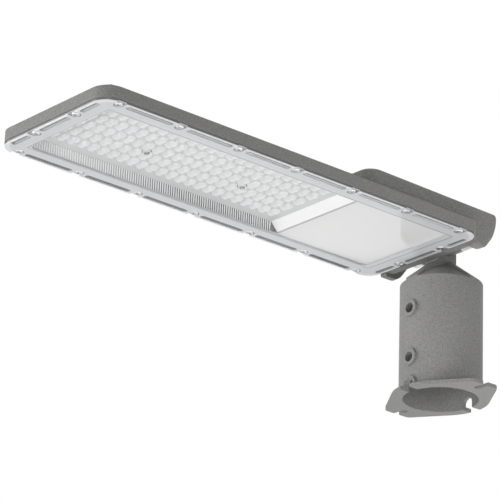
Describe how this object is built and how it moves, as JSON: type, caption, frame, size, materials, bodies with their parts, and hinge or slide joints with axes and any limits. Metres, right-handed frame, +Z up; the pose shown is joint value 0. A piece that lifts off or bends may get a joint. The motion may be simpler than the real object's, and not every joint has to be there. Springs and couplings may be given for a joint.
{
  "type": "led street light head",
  "caption": "Flat grey street light head with a clear moulded lens cover under its tray, a driver bay on its back and a tilting slip-over pole adaptor at one end.",
  "frame": {"origin": "centre of the pole adaptor's mouth, on the axis of the pole", "axes": "+Z up along the pole axis, +X along the head to its free end, light leaves towards -Z"},
  "size_m": [0.4396, 0.1312, 0.1478],
  "materials": {
    "grey_coat": "textured powder coat on cast aluminium",
    "clear": "clear moulded polycarbonate",
    "seal": "silicone",
    "steel": "stainless",
    "board": "white solder mask",
    "chip": "phosphor",
    "white_plastic": "moulded",
    "black_plastic": "moulded",
    "copper": "copper coloured",
    "driver_case": "plain"
  },
  "bodies": {
    "adaptor": {"pole_adaptor": "grey_coat"},
    "head": {"housing": "grey_coat", "clear_cover": "clear", "cover_gasket": "seal", "cover_screws": "steel", "led_board": "board", "led_chips": "chip", "board_connector": "white_plastic", "board_screws": "copper", "bay_shield": "white_plastic", "led_driver": "driver_case", "driver_screws": "steel", "earth_screw": "steel", "terminal_block": "white_plastic", "cable_gland": "black_plastic", "gland_nut": "black_plastic", "gland_seal": "seal", "pivot_bolt": "steel", "pivot_nut": "steel", "pivot_washers": "steel", "spring_washer": "steel"}
  },
  "joints": [
    {"name": "head_tilt", "type": "hinge", "parent": "adaptor", "child": "head", "pos_m": [0, 0, 0.1315], "axis": [0, -1, 0], "range_deg": [0, 90]}
  ]
}
